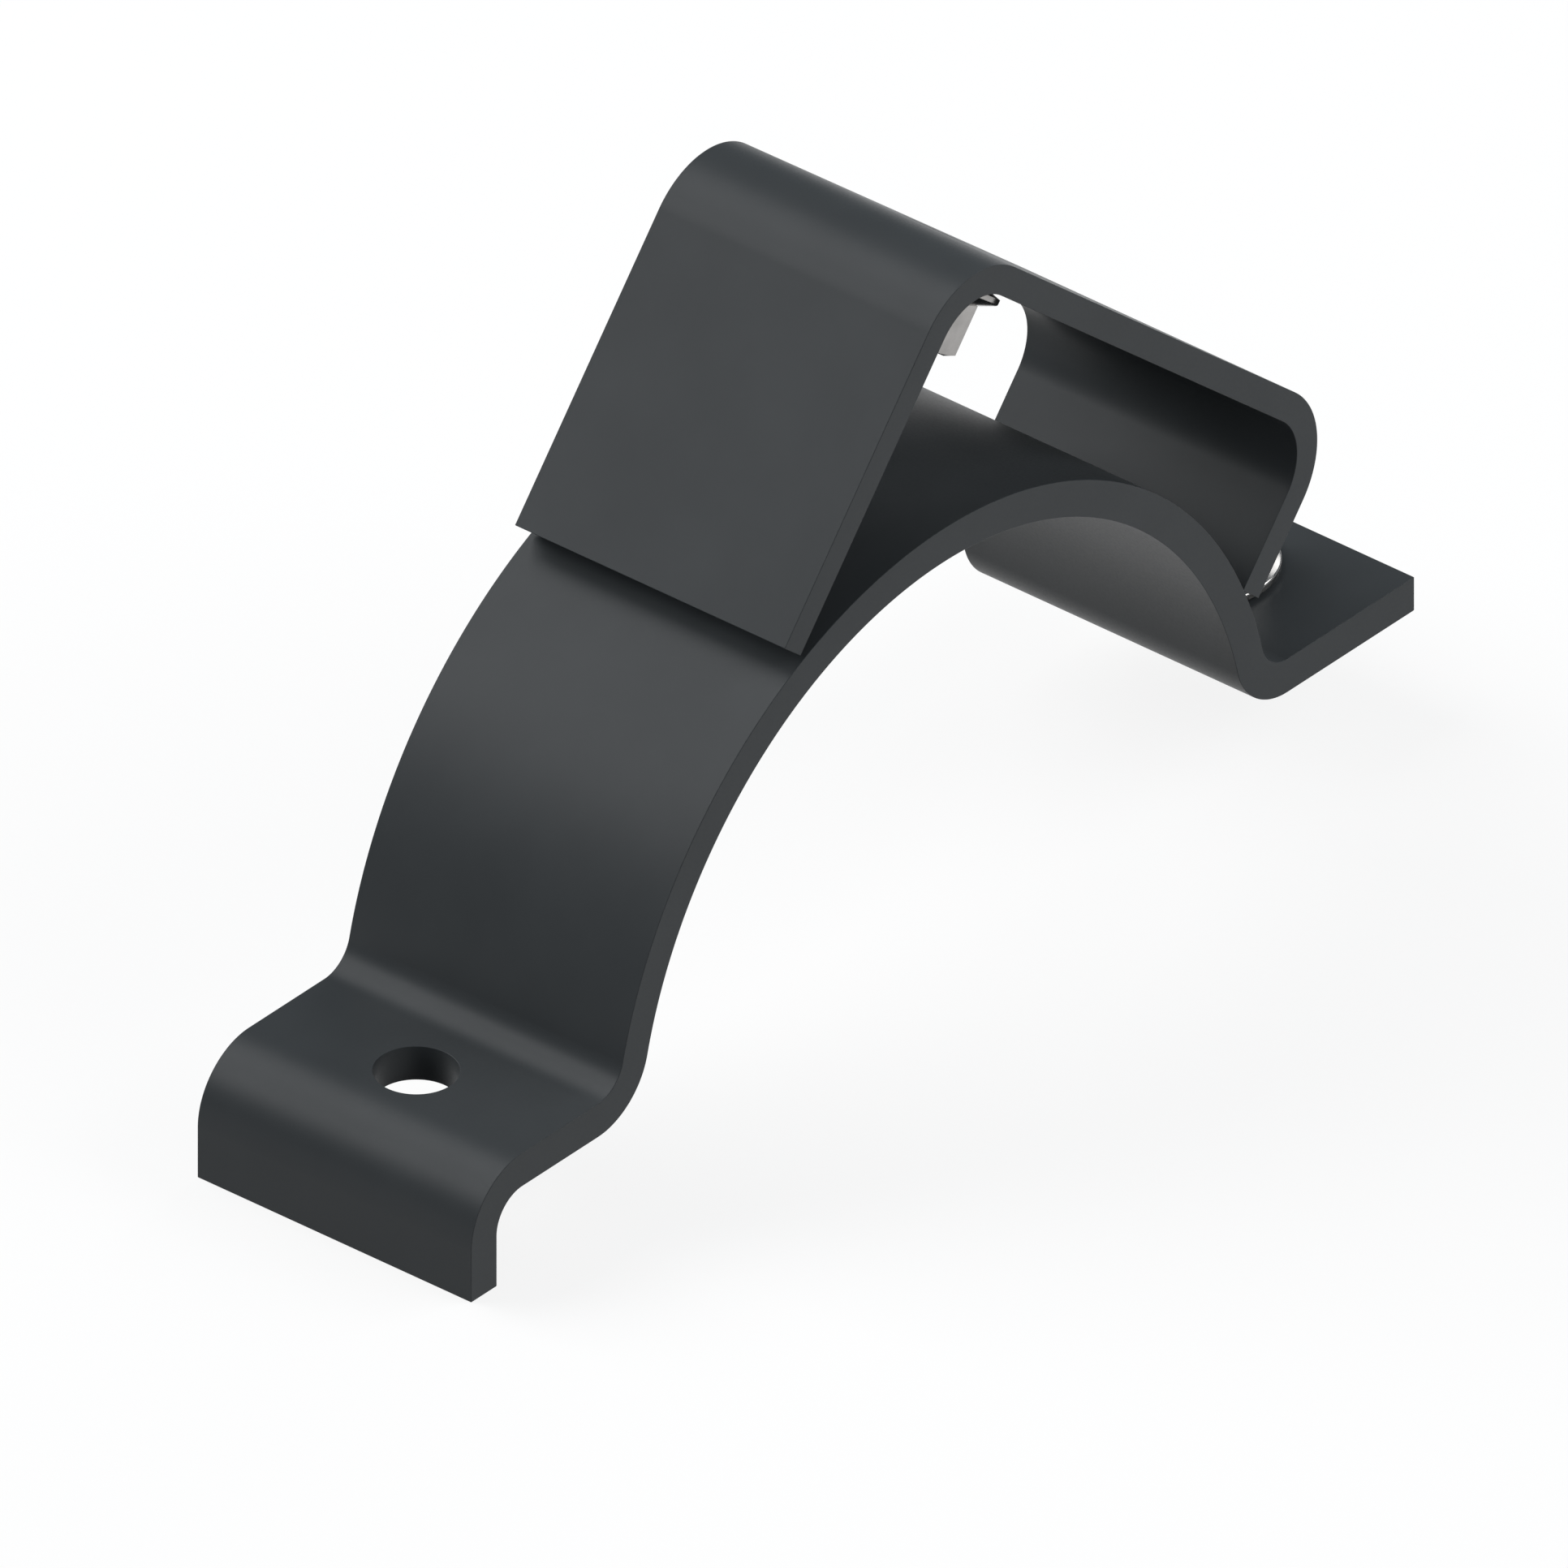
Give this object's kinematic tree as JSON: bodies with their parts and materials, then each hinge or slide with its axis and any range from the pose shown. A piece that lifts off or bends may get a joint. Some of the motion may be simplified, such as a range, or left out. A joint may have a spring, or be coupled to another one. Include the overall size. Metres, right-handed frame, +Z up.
{
  "type": "half pipe clamp",
  "caption": "Half of a pipe clamp: a bent saddle strap with a lipped flange and a flat flange, and a tilted folded bracket on its back, with weld nuts for its bolts.",
  "frame": {"origin": "pipe axis at the middle of the strap's width", "axes": "+X from the lipped flange to the flat flange, +Y along the pipe, +Z up through the crown of the saddle"},
  "size_m": [0.184, 0.045, 0.105],
  "materials": {
    "coated_steel": "dark grey satin coating",
    "plated_steel": "bright zinc plating"
  },
  "bodies": {
    "root": {"clamp_strap": "coated_steel", "top_bracket": "coated_steel", "bracket_nut": "plated_steel", "flange_nut": "plated_steel"}
  },
  "joints": []
}
